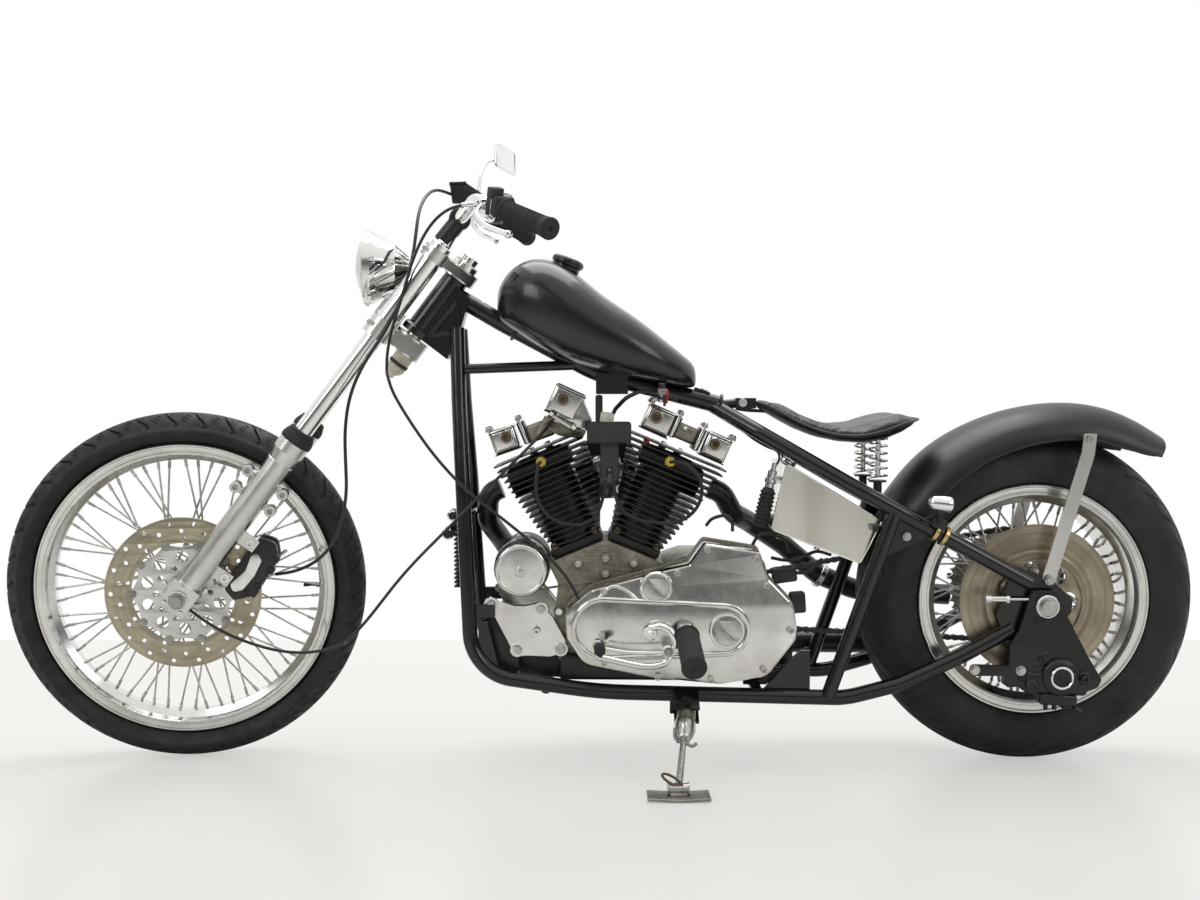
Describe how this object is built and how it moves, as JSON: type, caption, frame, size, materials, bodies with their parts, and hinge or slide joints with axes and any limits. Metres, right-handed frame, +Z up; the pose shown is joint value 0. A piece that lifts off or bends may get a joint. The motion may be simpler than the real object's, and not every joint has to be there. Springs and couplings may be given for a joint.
{
  "type": "chopper motorcycle",
  "caption": "Low hardtail chopper motorcycle with a long raked fork, teardrop tank, sprung seat and a V-twin engine, leaning on its side stand.",
  "frame": {"origin": "middle of the footprint of the standing motorcycle, on the ground", "axes": "+X rearwards along the motorcycle, +Y to the rider's right, +Z up"},
  "size_m": [2.2858, 0.7172, 1.2519],
  "materials": {
    "tyre": "matt black rubber",
    "rim_aluminium": "polished alloy",
    "spoke_steel": "zinc plated",
    "disc_steel": "brushed, tinted by heat",
    "chain_steel": "oiled",
    "slider_aluminium": "satin alloy",
    "chrome": "polished chrome",
    "black_plastic": "black moulded plastic",
    "pale_plastic": "off-white plastic",
    "black_rubber": "black rubber",
    "lamp_glass": "clear fluted glass",
    "black_metal": "satin black",
    "black_paint": "gloss black",
    "satin_paint": "satin black",
    "engine_aluminium": "worn polished alloy",
    "cylinder_black": "matt black fins",
    "brass": "brass",
    "seat_leather": "smooth black leather",
    "stand_steel": "worn steel"
  },
  "bodies": {
    "chassis": {"drive_chain": "chain_steel", "rear_axle": "spoke_steel", "frame_front": "black_paint", "frame_hardtail": "black_paint", "engine_cases": "engine_aluminium", "primary_cover": "engine_aluminium", "cylinders": "cylinder_black", "rocker_boxes": "engine_aluminium", "generator": "chrome", "engine_plates": "engine_aluminium", "ignition_coil": "black_plastic", "carburettor": "chrome", "exhaust_pipes": "black_metal", "fuel_tank": "black_paint", "tank_cap": "black_plastic", "petcock": "brass", "fuel_hose": "black_rubber", "seat": "seat_leather", "seat_springs": "chrome", "oil_tank": "chrome", "cable_boot": "black_rubber", "rear_fender": "satin_paint", "fender_struts": "slider_aluminium", "foot_controls": "black_rubber", "rear_caliper": "black_metal", "rear_lamps": "black_plastic", "regulator": "black_metal", "spark_lead_front": "black_rubber", "spark_lead_rear": "black_rubber", "clutch_cable_rear": "black_rubber", "speed_cable_rear": "black_rubber"},
    "fork": {"fork_sliders": "slider_aluminium", "fork_collars": "black_plastic", "fork_tubes": "chrome", "fork_yokes": "slider_aluminium", "stem_canister": "pale_plastic", "handlebar": "chrome", "grips": "black_rubber", "hand_controls": "black_plastic", "headlight_shell": "chrome", "headlight_lens": "lamp_glass", "front_caliper": "black_metal", "front_axle": "spoke_steel", "front_brake_hose": "black_rubber", "clutch_cable_front": "black_rubber", "speed_cable_front": "black_rubber"},
    "front_wheel": {"front_tyre": "tyre", "front_rim": "rim_aluminium", "front_spokes": "spoke_steel", "front_disc": "disc_steel"},
    "rear_wheel": {"rear_tyre": "tyre", "rear_rim": "rim_aluminium", "rear_spokes": "spoke_steel", "rear_disc": "disc_steel", "rear_sprocket": "disc_steel"},
    "side_stand": {"side_stand": "stand_steel"}
  },
  "joints": [
    {"name": "steering", "type": "hinge", "parent": "chassis", "child": "fork", "pos_m": [-0.32333, 0.00294, 0.87468], "axis": [0.6037, -0.0556, 0.7953], "range_deg": [-39.6, 24.4]},
    {"name": "front_wheel_spin", "type": "hinge", "parent": "fork", "child": "front_wheel", "pos_m": [-0.80462, 0.03267, 0.33676], "axis": [-0.1058, 0.9832, 0.149], "continuous": true},
    {"name": "rear_wheel_spin", "type": "hinge", "parent": "chassis", "child": "rear_wheel", "pos_m": [0.82099, 0.04171, 0.32148], "axis": [-0.0001, 0.9976, 0.0698], "continuous": true},
    {"name": "side_stand_fold", "type": "hinge", "parent": "chassis", "child": "side_stand", "pos_m": [0.15722, -0.0924, 0.11689], "axis": [-0.0009, -0.5592, 0.829], "range_deg": [0, 85]}
  ]
}
